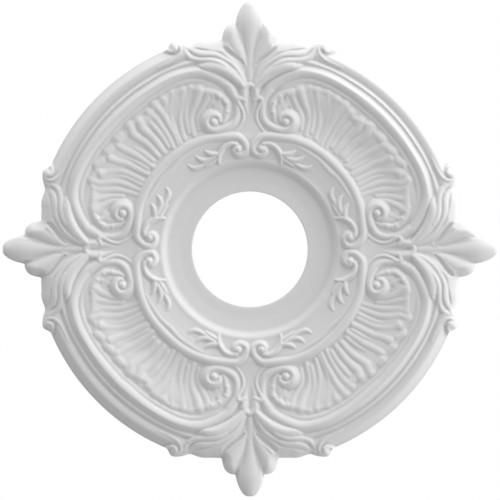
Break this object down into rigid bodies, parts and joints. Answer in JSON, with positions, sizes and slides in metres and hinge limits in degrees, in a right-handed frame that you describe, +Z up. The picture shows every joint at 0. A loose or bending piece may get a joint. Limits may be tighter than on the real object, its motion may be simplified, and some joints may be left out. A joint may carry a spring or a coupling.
{
  "type": "ceiling rose",
  "caption": "Round white ceiling rose with a centre hole, scrolled frames round fluted shells, and leaf clusters that reach past its rim.",
  "frame": {"origin": "middle of the flat back, on the axis of the hole, where it meets the ceiling", "axes": "+Z up into the ceiling, so the carved face looks down; +X and +Y each run through a pair of leaf tips"},
  "size_m": [0.4064, 0.4064, 0.0184],
  "materials": {
    "white_casting": "smooth matte white casting, factory primed, with a faint mottle"
  },
  "bodies": {
    "root": {"ceiling_rose": "white_casting"}
  },
  "joints": []
}
